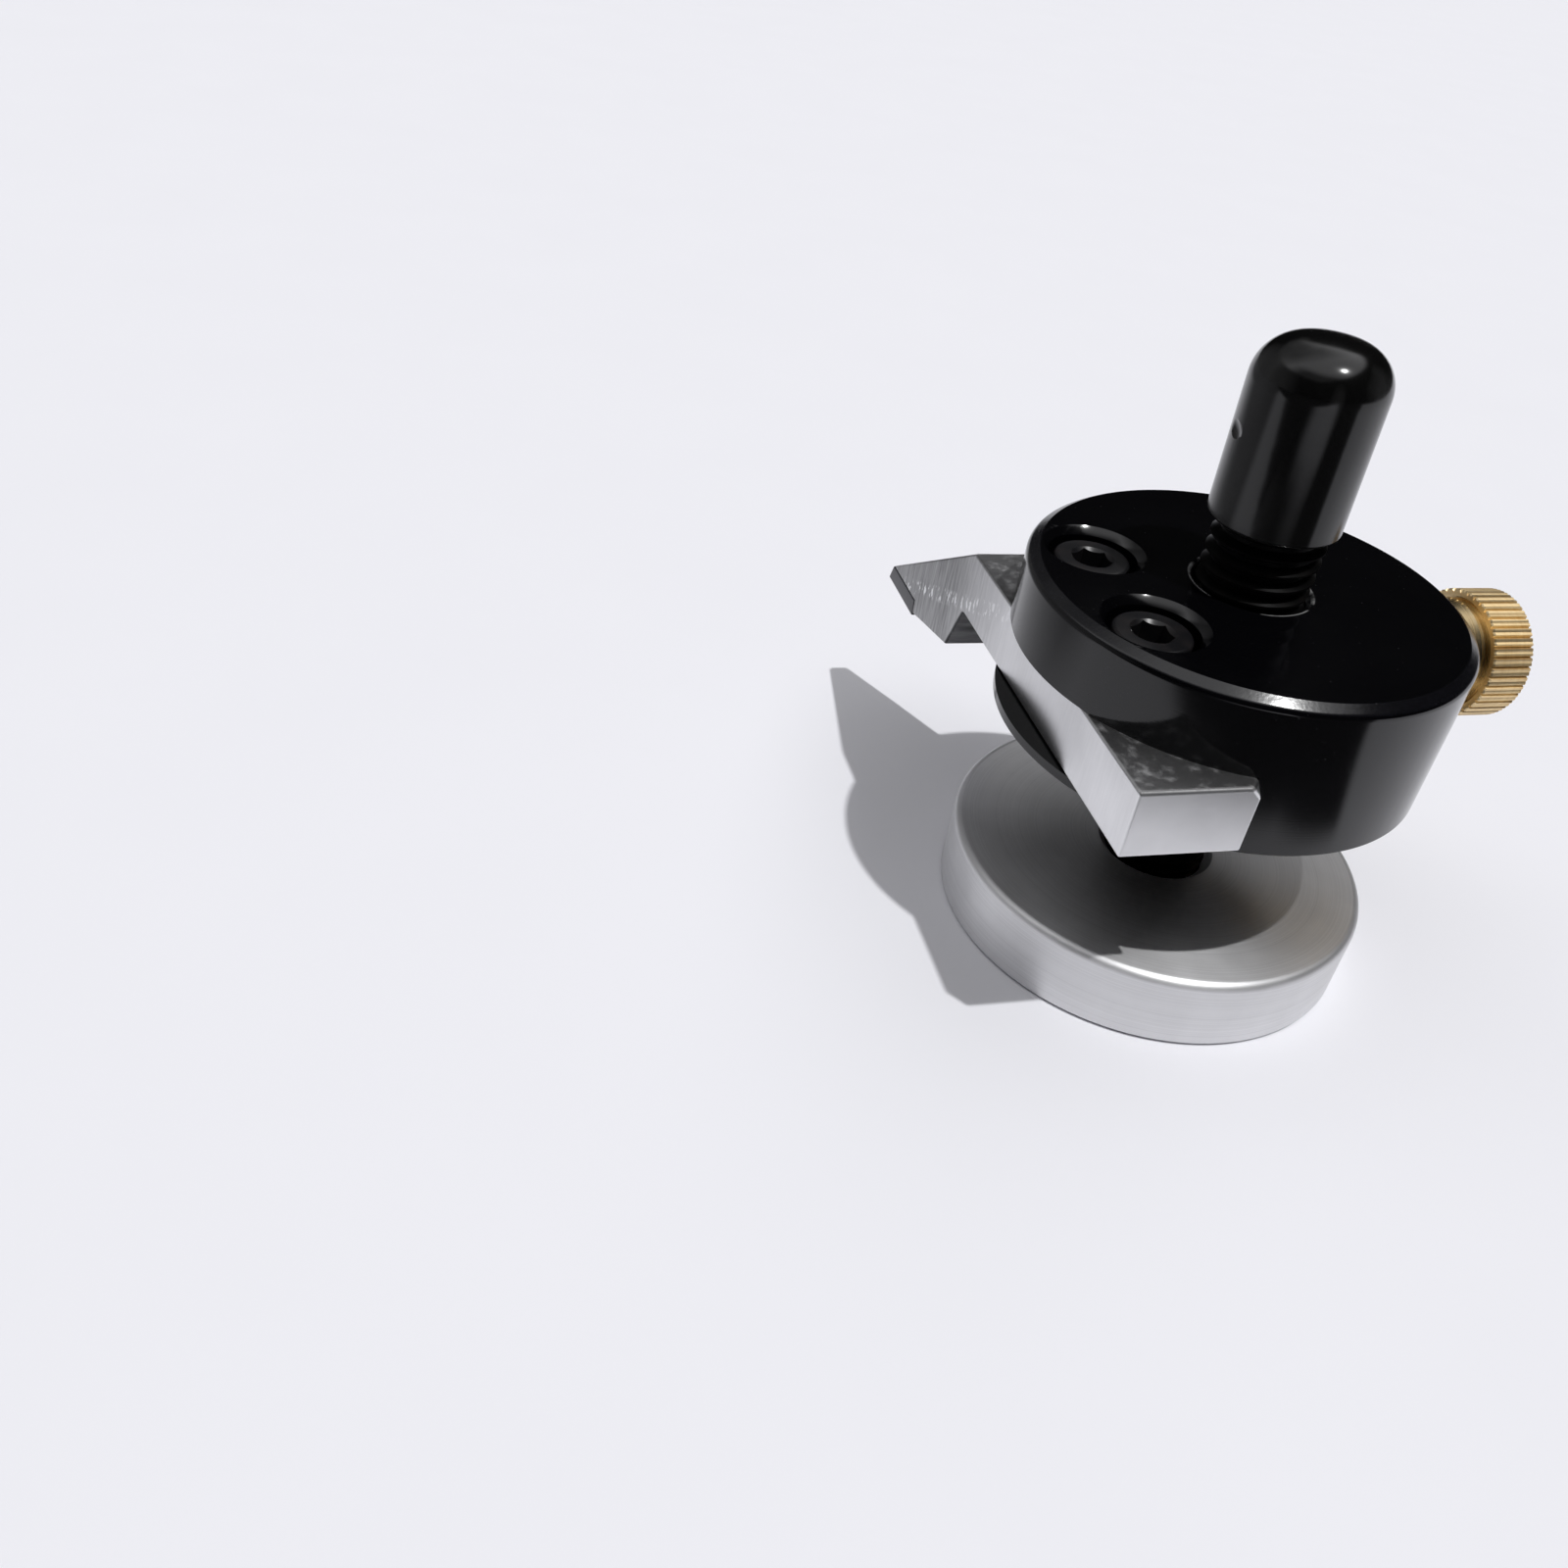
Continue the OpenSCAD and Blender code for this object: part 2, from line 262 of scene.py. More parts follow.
class ScribeStudio(bpy.types.PropertyGroup):
    """The camera and the lights."""

    camera_place: FloatVectorProperty(
        name="Camera place",
        description="Where the camera stands",
        default=(-86.2 * MM, -113.9 * MM, 109.3 * MM),
        subtype="TRANSLATION",
        unit="LENGTH",
    )
    camera_turn: FloatVectorProperty(
        name="Camera turn",
        description="How the camera is turned",
        default=[math.radians(angle) for angle in (53.134, -7.135, -12.842)],
        subtype="EULER",
        unit="ROTATION",
    )
    lens: FloatProperty(name="Lens", description="Focal length in millimetres", default=31.22)
    key_from: FloatVectorProperty(
        name="Key from",
        description="Where the key light comes from",
        default=(0.214, -0.271, 0.938),
        subtype="DIRECTION",
    )
    key_strength: FloatProperty(name="Key strength", description="Strength of the key light", default=1.9)
    key_size: FloatProperty(
        name="Key size",
        description="Angle that the key light fills, seen from the floor",
        default=math.radians(1.2),
        subtype="ANGLE",
    )
    ceiling: FloatProperty(name="Ceiling", description="Brightness of the room's ceiling", default=1.2)
    wall: FloatProperty(name="Wall", description="Brightness of the room's left wall", default=0.2)
    backdrop: FloatProperty(name="Backdrop", description="Brightness of the room's far side", default=0.005)
    background: FloatProperty(name="Background", description="Brightness behind the floor", default=0.86)


def settle():
    """Leaves edit mode and deselects everything."""
    if bpy.context.mode != "OBJECT":
        bpy.ops.object.mode_set(mode="OBJECT")
    bpy.ops.object.select_all(action="DESELECT")


def take(piece):
    """Makes this piece the only selected one, and the active one."""
    settle()
    piece.select_set(True)
    bpy.context.view_layer.objects.active = piece


def on_axis(axis, radius, place):
    """The point at this radius and this place along an axis."""
    return axis.centre + axis.along * place + axis.out * radius


def arc(centre_r, centre_t, radius, first, last, parts=8):
    """Points of a round stretch of an outline, between two angles in degrees."""
    angles = [math.radians(first + (last - first) * part / parts) for part in range(parts + 1)]
    return [(centre_r + radius * math.cos(a), centre_t + radius * math.sin(a)) for a in angles]


def draw(points):
    """Draws a chain of edges by extruding a vertex from point to point. The chain stays in edit mode."""
    settle()
    bpy.ops.mesh.primitive_plane_add(size=MM)
    piece = bpy.context.object
    bpy.ops.object.mode_set(mode="EDIT")
    bpy.ops.mesh.select_mode(type="VERT")
    bpy.ops.mesh.select_all(action="SELECT")
    bpy.ops.mesh.merge(type="CENTER")
    bpy.ops.transform.translate(value=points[0])
    for here, there in zip(points, points[1:]):
        bpy.ops.mesh.extrude_region_move(TRANSFORM_OT_translate={"value": there - here})
    return piece


def weld():
    """Merges the doubled vertices of the mesh in edit mode and turns its faces outwards."""
    bpy.ops.mesh.select_all(action="SELECT")
    bpy.ops.mesh.remove_doubles(threshold=WELD)
    bpy.ops.mesh.normals_make_consistent(inside=False)
    settle()


def slice_off(point, outward):
    """Cuts the mesh in edit mode along a plane, drops what lies outward of it and closes the cut."""
    bpy.ops.mesh.select_all(action="SELECT")
    bpy.ops.mesh.bisect(plane_co=point, plane_no=outward, use_fill=True, clear_outer=True, threshold=WELD)


def turned(outline, axis, steps):
    """Spins an outline of radii and places along an axis into a closed solid."""
    piece = draw([on_axis(axis, radius, place) for radius, place in outline])
    bpy.ops.mesh.select_all(action="SELECT")
    bpy.ops.mesh.spin(steps=steps, angle=math.tau, center=axis.centre, axis=axis.along)
    weld()
    return piece


def threaded(axis, radius, pitch, low, high):
    """A helical thread along an axis, cut square at both ends."""
    letter = "X" if axis.along.x else "Z"
    root = radius - THREAD_DEPTH * pitch
    start = low - pitch
    turns = math.ceil((high - low) / pitch) + SPARE_TURNS
    profile = [
        (root, 0),
        (root, ROOT_SHARE * pitch),
        (radius, (ROOT_SHARE + FLANK_SHARE) * pitch),
        (radius, (ROOT_SHARE + FLANK_SHARE + CREST_SHARE) * pitch),
        (root, pitch),
    ]
    piece = draw([axis.along * (start + place) + axis.out * r for r, place in profile])
    take(piece)
    bpy.ops.object.modifier_add(type="SCREW")
    helix = piece.modifiers[-1]
    helix.axis = letter
    helix.screw_offset = pitch
    helix.iterations = turns
    helix.steps = THREAD_STEPS
    helix.render_steps = THREAD_STEPS
    bpy.ops.object.modifier_apply(modifier=helix.name)
    bpy.ops.object.mode_set(mode="EDIT")
    bpy.ops.mesh.select_all(action="SELECT")
    bpy.ops.mesh.remove_doubles(threshold=WELD)
    slice_off(axis.along * low, -axis.along)
    slice_off(axis.along * high, axis.along)
    bpy.ops.mesh.select_all(action="SELECT")
    bpy.ops.transform.translate(value=axis.centre)
    weld()
    return piece


def block(low, high):
    """A cutting block between two corners."""
    settle()
    bpy.ops.mesh.primitive_cube_add(size=1, location=(low + high) / 2, scale=high - low)
    bpy.ops.object.transform_apply(location=True, rotation=True, scale=True)
    return bpy.context.object


def carve(piece, tool, operation="DIFFERENCE"):
    """Cuts a tool shape out of a piece, joins it to the piece or keeps what they share."""
    take(piece)
    bpy.ops.object.modifier_add(type="BOOLEAN")
    cut = piece.modifiers[-1]
    cut.operation = operation
    cut.solver = "EXACT"
    cut.object = tool
    bpy.ops.object.modifier_apply(modifier=cut.name)
    take(tool)
    bpy.ops.object.delete()
    take(piece)


def copied(piece, shift):
    """A copy of a piece with its own mesh, moved to its place within that mesh."""
    take(piece)
    bpy.ops.object.duplicate_move(TRANSFORM_OT_translate={"value": shift})
    bpy.ops.object.transform_apply(location=True, rotation=True, scale=True)
    return bpy.context.object


def soften(piece, width, segments=2):
    """Bevels the sharp edges of a piece."""
    take(piece)
    bpy.ops.object.modifier_add(type="BEVEL")
    bevel = piece.modifiers[-1]
    bevel.width = width
    bevel.segments = segments
    bevel.limit_method = "ANGLE"
    bevel.angle_limit = SMOOTH_ANGLE
    bpy.ops.object.modifier_apply(modifier=bevel.name)


def pick(piece, kind, test):
    """Selects the vertices or faces of the piece in edit mode whose middle passes the test."""
    bpy.ops.mesh.select_mode(type=kind)
    bpy.ops.mesh.select_all(action="DESELECT")
    mesh = bmesh.from_edit_mesh(piece.data)
    for item in mesh.verts if kind == "VERT" else mesh.faces:
        middle = item.co if kind == "VERT" else item.calc_center_median()
        item.select_set(test(middle))
    mesh.select_flush_mode()
    bmesh.update_edit_mesh(piece.data)


def check_closed(piece):
    """Stops the script if an edge of the piece hasn't exactly two faces."""
    mesh = bmesh.new()
    mesh.from_mesh(piece.data)
    open_edges = sum(not edge.is_manifold for edge in mesh.edges)
    mesh.free()
    if open_edges:
        raise RuntimeError(f"{piece.name} has {open_edges} open edges")


def dress(piece, name, node, body, material):
    """Gives a finished piece its shading, name and material, and ties it to the frame."""
    piece.name = name
    piece.data.name = name
    check_closed(piece)
    take(piece)
    bpy.ops.object.shade_smooth_by_angle(angle=SMOOTH_ANGLE)
    bpy.ops.object.modifier_add(type="WEIGHTED_NORMAL")
    piece.modifiers[-1].keep_sharp = True
    bpy.ops.object.modifier_apply(modifier=piece.modifiers[-1].name)
    piece.data.materials.append(material)
    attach(piece, body)
    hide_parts(node)


class Wire:
    """One socket of a material's node tree. Arithmetic on wires adds Math nodes."""

    def __init__(self, tree, socket=None):
        self.tree = tree
        self.socket = socket

    def feed(self, socket, value):
        """Links a wire to a socket, or sets the socket's own value."""
        if isinstance(value, Wire):
            self.tree.links.new(value.socket, socket)
        else:
            socket.default_value = value

    def add(self, kind, settings=None, inputs=None, output=0):
        """Adds a node with its settings and then its inputs, and returns one of its outputs."""
        node = self.tree.nodes.new(kind)
        for name, value in (settings or {}).items():
            setattr(node, name, value)
        for key, value in (inputs or {}).items():
            self.feed(node.inputs[key], value)
        return Wire(self.tree, node.outputs[output] if node.outputs else None)

    def math(self, operation, left, right):
        """Adds a Math node."""
        return self.add("ShaderNodeMath", {"operation": operation}, {0: left, 1: right})

    def __add__(self, other):
        return self.math("ADD", self, other)

    def __radd__(self, other):
        return self.math("ADD", other, self)

    def __sub__(self, other):
        return self.math("SUBTRACT", self, other)

    def __rsub__(self, other):
        return self.math("SUBTRACT", other, self)

    def __mul__(self, other):
        return self.math("MULTIPLY", self, other)

    def __rmul__(self, other):
        return self.math("MULTIPLY", other, self)

    def __pow__(self, other):
        return self.math("POWER", self, other)

    def __abs__(self):
        return self.math("ABSOLUTE", self, 0.0)


def places(wire, source="Object"):
    """Coordinates, whole and as their three parts."""
    place = wire.add("ShaderNodeTexCoord", output=source)
    split = [wire.add("ShaderNodeSeparateXYZ", None, {0: place}, part) for part in range(3)]
    return place, split


def grain(wire, place, scale, detail=3.0, stretch=(1, 1, 1)):
    """Noise from 0 to 1, with a scale in grains for each metre, finer along some axes if stretched."""
    spread = wire.add("ShaderNodeMapping", {"vector_type": "POINT"}, {"Vector": place, "Scale": stretch})
    return wire.add("ShaderNodeTexNoise", None, {"Vector": spread, "Scale": scale, "Detail": detail})


def rings(wire, around, scale, detail=2.0):
    """Noise from 0 to 1 along one measure, for the lines that a lathe leaves."""
    settings = {"noise_dimensions": "1D"}
    return wire.add("ShaderNodeTexNoise", settings, {"W": around, "Scale": scale, "Detail": detail})


def ramp(wire, value, start, full):
    """A mask that grows from 0 to 1 while a value goes up or down from a start to where the mask is full."""
    return wire.add("ShaderNodeMapRange", None, {0: value, 1: start, 2: full})


def soft(wire, parts, edge):
    """A mask across one soft edge, over a place or a heading that is given in its parts."""
    grown = [part * growth for part, growth in zip(parts, edge.growth) if growth]
    return ramp(wire, sum(grown[1:], grown[0]), edge.start, edge.full)


def joined(wire, operation, parts, edges):
    """A mask across several soft edges."""
    mask, *others = [soft(wire, parts, edge) for edge in edges]
    for other in others:
        mask = wire.math(operation, mask, other)
    return mask


def mixed(wire, share, first, second):
    """One colour, given in parts or as a wire, turning into another colour."""
    settings = {"data_type": "RGBA"}
    start = first if isinstance(first, Wire) else (*first, 1)
    return wire.add("ShaderNodeMix", settings, {0: share, 6: start, 7: (*second, 1)}, 2)


def relief(wire, height, depth):
    """A bump of this depth in metres, for the Normal socket."""
    return wire.add("ShaderNodeBump", None, {"Distance": depth, "Height": height}, "Normal")


def lathe_measure(wire, axis):
    """The place, the distance from an axis, and a measure whose levels are rings on a turned piece."""
    place, (x, y, z) = places(wire)
    if axis.along.x:
        off = z - axis.centre.z
        radius = (y * y + off * off) ** 0.5
        return place, radius, radius + x
    radius = (x * x + y * y) ** 0.5
    return place, radius, radius + z


def tints(tone, *factors):
    """Darker or lighter versions of a colour, one for each factor."""
    return [[min(1.0, part * factor) for part in tone] for factor in factors]


def cast(tone, shifts):
    """A colour with each of its parts times its own shift."""
    return [part * shift for part, shift in zip(tone, shifts)]


def finish(name, build):
    """A material whose shader sockets come from a function that is given the node tree's wire."""
    material = bpy.data.materials.new(name)
    material.use_nodes = True
    shader = material.node_tree.nodes["Principled BSDF"]
    wire = Wire(material.node_tree)
    for socket, value in build(wire).items():
        wire.feed(shader.inputs[socket], value)
    return material


def turned_aluminium(tone):
    """Satin aluminium with the fine rings of a facing cut."""

    def build(wire):
        place, _, around = lathe_measure(wire, UPRIGHT)
        fine = rings(wire, around, scale=5000)
        broad = rings(wire, around, scale=900)
        cloud = grain(wire, place, scale=160)
        share = ramp(wire, fine * 0.4 + broad * 0.2 + cloud * 0.4, start=0.3, full=0.7)
        return {
            "Base Color": mixed(wire, share, *tints(tone, 0.88, 1.08)),
            "Metallic": 0.97,
            "Roughness": 0.39 + fine * 0.12 + cloud * 0.06,
            "Anisotropic": 0.5,
            "Anisotropic Rotation": 0.25,
            "Normal": relief(wire, fine + broad * 0.3, depth=0.004 * MM),
        }

    return finish("turned_aluminium", build)


def rim_outline(sizes):
    """The outline of the body's upper rim: a rounding that runs into a sloping flat."""
    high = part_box("body")[1]
    rest = math.atan2(sizes.body_flat_width, sizes.body_flat_height)
    start = high.z - sizes.body_flat_height - sizes.body_rim * math.sin(rest)
    rounding = arc(high.x - sizes.body_rim, start, sizes.body_rim, 0, math.degrees(rest))
    return [*rounding, (rounding[-1][0] - sizes.body_flat_width, high.z)]


def black_body(tone, bare_and_glint, sizes):
    """Smooth black: turning lines, handling marks, a scuffed rim, and wear and a painted highlight round its
    hole.
    """
    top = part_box("body")[1].z
    slope = sizes.body_flat_height / sizes.body_flat_width
    flat = rim_outline(sizes)[-1][0] * slope + top
    mouth = sizes.bore + sizes.body_mouth

    def build(wire):
        place, (x, y, z) = places(wire)
        radius = (x * x + y * y) ** 0.5
        fine = rings(wire, radius + z, scale=7000)
        smudge = grain(wire, place, scale=110, detail=4.0)
        dust = ramp(wire, grain(wire, place, scale=2600, detail=1.0), start=0.74, full=0.80)
        scuff = ramp(wire, flat - (radius * slope + z), *RIM_SCUFF)
        speck = grain(wire, place, scale=2200, detail=2.0) * scuff
        # Partly wear, partly painted highlight: the edge round the hole is painted light grey in broken arcs
        # where its chamfer glints.
        chips = ramp(wire, grain(wire, place, scale=320), start=0.44, full=0.56)
        wear_and_painted_light = ramp(wire, abs(radius - mouth), *MOUTH_WEAR_AND_GLINT) * ramp(wire, top - z, *MOUTH_DEPTH) * chips
        coat = mixed(wire, dust * 0.5 + speck, *tints(tone, 1, 4))
        return {
            "Base Color": mixed(wire, wear_and_painted_light, coat, bare_and_glint),
            "Specular IOR Level": 0.5,
            "Roughness": 0.08 + smudge * 0.08 + dust * 0.2 + scuff * 0.06,
            "Normal": relief(wire, fine * 0.15 + speck, depth=0.008 * MM),
        }

    return finish("black_anodised", build)


def black_vinyl(tone):
    """Glossy dipped vinyl with a slightly uneven skin, and duller streaks along it that are painted sheen.
    """

    def build(wire):
        place, _ = places(wire)
        skin = grain(wire, place, scale=260, detail=1.0)
        streak_noise = grain(wire, place, scale=210, detail=2.0, stretch=(1, 1, 0.08))
        # Painted sheen: the streaks lighten the colour, standing for reflections along the cap.
        painted_sheen = ramp(wire, streak_noise, start=0.5, full=0.62)
        return {
            "Base Color": mixed(wire, painted_sheen, *tints(tone, 1, 5)),
            "Specular IOR Level": 0.45,
            "Roughness": 0.14 + painted_sheen * 0.06,
            "Normal": relief(wire, skin, depth=0.02 * MM),
        }

    return finish("black_vinyl", build)


def black_oxide(name, tone, gloss):
    """Black oxide on steel, with a slightly brown cast where it is thin."""

    def build(wire):
        place, _ = places(wire)
        patch = grain(wire, place, scale=500, detail=4.0)
        pit = grain(wire, place, scale=5000, detail=2.0)
        thin = ramp(wire, patch, start=0.45, full=0.75)
        return {
            "Base Color": mixed(wire, thin, tone, cast(tone, (2.0, 1.7, 1.5))),
            "Specular IOR Level": gloss,
            "Roughness": 0.24 + patch * 0.16,
            "Normal": relief(wire, pit, depth=0.004 * MM),
        }

    return finish(name, build)


def ground_steel(tone, sizes):
    """Ground steel: wheel marks across the bar, stains, scuffs, painted glints on the hook, painted shade on
    hook, heel, end.
    """
    low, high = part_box("scriber_bar")
    under = high.z - sizes.bar_thickness
    end_edge = high.z - low.y
    heel = Vector((sizes.heel_length, sizes.bar_thickness - sizes.heel_drop)).normalized()

    def build(wire):
        place, (x, y, z) = places(wire)
        lines = grain(wire, place, scale=60, stretch=(3, 34, 3))
        satin = grain(wire, place, scale=1600)
        stain = grain(wire, place, scale=130, detail=4.0)
        ding = ramp(wire, grain(wire, place, scale=420, detail=2.0), start=0.62, full=0.8)
        hook = ramp(wire, y, *HOOK_DULL_AND_SHADE)
        # Painted shade: the colour darkens along the hook, and most on its near face.
        near_face_shade = ramp(wire, x - low.x, *NEAR_FACE_SHADE)
        rubbed = ramp(wire, grain(wire, place, scale=750), start=0.5, full=0.75)
        scuff = rubbed * ramp(wire, high.z - z, *TOP_SCUFF)
        # Partly wear, partly painted shade: the end's top edge is rougher and painted darker to dim its
        # reflection.
        wear_and_painted_light = ramp(wire, end_edge - (z - y), *END_WEAR_AND_SHADE)
        # Painted shade: the heel's face below the bar's underside is painted darker.
        off_heel = (y - sizes.bar_reach) * -heel.y + (z - under) * heel.x
        heel_shade = ramp(wire, abs(off_heel), *HEEL_SHADE) * ramp(wire, under - z, *HEEL_DEPTH)
        # Painted highlight: a band of light specks across the hook stands for glints of the sun.
        off_band = (y - GLINT_Y) * GLINT_FALL + z - GLINT_Z
        spark = grain(wire, place, scale=1300, detail=2.0, stretch=(1, 1.5, 0.6))
        glint = ramp(wire, abs(off_band), *GLINT_BAND) * ramp(wire, spark, start=0.55, full=0.65)
        marks = (lines - 0.5) * (0.2 + hook * 0.8)
        marks_and_shade = stain * 0.2 + hook * (0.1 + near_face_shade * 0.48) + marks * 0.7
        return {
            "Base Color": mixed(wire, marks_and_shade + heel_shade * 0.6 + wear_and_painted_light * 0.6 - glint, *tints(tone, 1.08, 0.1)),
            "Metallic": 1.0,
            "Roughness": 0.25 + satin * 0.03 + stain * 0.08 + hook * 0.12 + scuff * 0.16 + wear_and_painted_light * 0.3,
            "Normal": relief(wire, marks + satin * 0.04 - ding * 0.6, depth=0.012 * MM),
        }

    return finish("ground_steel", build)


def sintered_carbide(tone):
    """Matt grey carbide with the fine marks of a diamond wheel."""

    def build(wire):
        place, _ = places(wire)
        lines = grain(wire, place, scale=90, stretch=(60, 60, 2))
        speck = grain(wire, place, scale=4200, detail=2.0)
        return {
            "Base Color": mixed(wire, lines * 0.6 + speck * 0.4, *tints(tone, 0.75, 1.2)),
            "Metallic": 1.0,
            "Roughness": 0.34 + speck * 0.14,
            "Normal": relief(wire, lines + speck * 0.5, depth=0.006 * MM),
        }

    return finish("carbide", build)


def turned_brass(tone, collar):
    """Brass with lathe rings and a little tarnish, duller on the knurl outside the collar's radius."""

    def build(wire):
        place, radius, around = lathe_measure(wire, CROSSWISE)
        knurl = ramp(wire, radius - collar, *KNURL_DULL)
        fine = rings(wire, around, scale=8000)
        broad = rings(wire, around, scale=1500, detail=3.0)
        tarnish = grain(wire, place, scale=380, detail=4.0)
        share = ramp(wire, tarnish * 0.4 + broad * 0.6, start=0.4, full=0.8)
        return {
            "Base Color": mixed(wire, share, tone, cast(tone, (0.8, 0.72, 0.6))),
            "Metallic": 1.0,
            "Roughness": 0.14 + knurl * 0.22 + fine * 0.1 + broad * 0.1,
            "Normal": relief(wire, (fine * 0.5 + broad) * (0.2 + knurl * 0.8), depth=0.006 * MM),
        }

    return finish("brass", build)


def plain_nylon(tone):
    """Natural nylon, slightly cloudy."""

    def build(wire):
        place, _ = places(wire)
        cloud = grain(wire, place, scale=700)
        return {
            "Base Color": mixed(wire, cloud, *tints(tone, 0.9, 1.05)),
            "Roughness": 0.4 + cloud * 0.15,
            "Normal": relief(wire, cloud, depth=0.01 * MM),
        }

    return finish("nylon", build)


class ScribeBase(bpy.types.Operator):
    """Turns the base with its rounded rim and countersunk hole."""

    bl_idname = "scribe.base"
    bl_label = "Base"
    bl_options = {"REGISTER", "UNDO"}

    def execute(self, context):
        sizes = context.scene.scribe_sizes
        colours = context.scene.scribe_colours
        low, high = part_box("base")
        radius, top = high.x, high.z
        outline = [
            (0, low.z),
            (radius - sizes.base_foot, low.z),
            (radius, low.z + sizes.base_foot),
            *arc(radius - sizes.base_rim, top - sizes.base_rim, sizes.base_rim, 0, 90),
            (sizes.bore + sizes.base_mouth, top),
            (sizes.bore, top - sizes.base_mouth),
            (sizes.bore, sizes.base_floor),
            (0, sizes.base_floor),
        ]
        piece = turned(outline, UPRIGHT, DISC_STEPS)
        dress(piece, "base_turned", "base", "base", turned_aluminium(colours.aluminium))
        return {"FINISHED"}


class ScribePost(bpy.types.Operator):
    """Cuts the post's helical thread and chamfers its ends."""

    bl_idname = "scribe.post"
    bl_label = "Post"
    bl_options = {"REGISTER", "UNDO"}

    def execute(self, context):
        sizes = context.scene.scribe_sizes
        colours = context.scene.scribe_colours
        low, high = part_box("post")
        radius = high.x
        wide = radius + OVERSHOOT
        end_radius = radius - sizes.post_end
        rise = wide - end_radius
        piece = threaded(UPRIGHT, radius, sizes.post_pitch, low.z, high.z)
        chamfers = [
            (0, low.z - LAP),
            (end_radius - LAP, low.z - LAP),
            (wide, low.z + rise),
            (wide, high.z - rise),
            (end_radius - LAP, high.z + LAP),
            (0, high.z + LAP),
        ]
        carve(piece, turned(chamfers, UPRIGHT, SMALL_STEPS), "INTERSECT")
        # Painted shade: the post takes the darker copy of the oxide.
        shaded_post = black_oxide("shaded_post_oxide", colours.shaded_post, gloss=0.08)
        dress(piece, "post_threaded", "post", "post", shaded_post)
        return {"FINISHED"}


class ScribeCap(bpy.types.Operator):
    """Turns the dipped cap, with its crowned end, and hollows it."""

    bl_idname = "scribe.cap"
    bl_label = "End cap"
    bl_options = {"REGISTER", "UNDO"}

    def execute(self, context):
        sizes = context.scene.scribe_sizes
        colours = context.scene.scribe_colours
        low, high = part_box("end_cap")
        piece = turned(self.skin(sizes, low.z, high), self.leaning(sizes), SMALL_STEPS)
        straight_z = high.z - sizes.cap_roof - sizes.cap_crown
        hollow = [
            (0, low.z - OVERSHOOT),
            (sizes.bore + OVERSHOOT + sizes.cap_lip, low.z - OVERSHOOT),
            (sizes.bore, low.z + sizes.cap_lip),
            (sizes.bore, straight_z),
            (sizes.bore - sizes.cap_crown, straight_z + sizes.cap_crown),
            (0, straight_z + sizes.cap_crown),
        ]
        carve(piece, turned(hollow, UPRIGHT, SMALL_STEPS))
        carve(piece, self.nick(sizes, high.x))
        dress(piece, "end_cap_dipped", "end_cap", "end_cap", black_vinyl(colours.vinyl))
        return {"FINISHED"}

    def leaning(self, sizes):
        """The skin's own axis, which meets the post's axis at the body's top."""
        along = Vector((*sizes.cap_lean, 1)).normalized()
        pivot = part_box("body")[1].z
        return Axis(Vector((0, 0, pivot)) - along * pivot, along, along.orthogonal().normalized())

    def nick(self, sizes, radius):
        """A ball that cuts a small nick into the cap's side."""
        off = radius - sizes.nick_depth + sizes.nick_radius
        outward = Vector((math.cos(sizes.nick_turn), math.sin(sizes.nick_turn), 0))
        settle()
        bpy.ops.mesh.primitive_uv_sphere_add(
            segments=SMALL_STEPS,
            ring_count=SMALL_STEPS,
            radius=sizes.nick_radius,
            location=on_axis(self.leaning(sizes), 0, sizes.nick_height) + outward * off,
            scale=(1, 1, sizes.nick_flat),
        )
        bpy.ops.object.transform_apply(location=True, rotation=True, scale=True)
        return bpy.context.object

    def skin(self, sizes, foot, high):
        """The outline of the cap's outside: a lip, a round shoulder and a low crown."""
        radius = high.x
        lip = sizes.cap_lip
        rest = math.radians(90 - CROWN_SLOPE)
        crown_radius = radius - sizes.cap_round * (1 - math.cos(rest))
        crown = crown_radius * math.tan(math.radians(CROWN_SLOPE)) / 2
        shoulder_z = high.z - crown - sizes.cap_round * math.sin(rest)
        crown_parts = [step / CROWN_STEPS for step in reversed(range(CROWN_STEPS))]
        return [
            (0, foot),
            *arc(radius - lip, foot + lip, lip, -90, 0, parts=4),
            *arc(radius - sizes.cap_round, shoulder_z, sizes.cap_round, 0, 90 - CROWN_SLOPE, parts=12),
            *[(crown_radius * part, high.z - crown * part ** 2) for part in crown_parts],
        ]


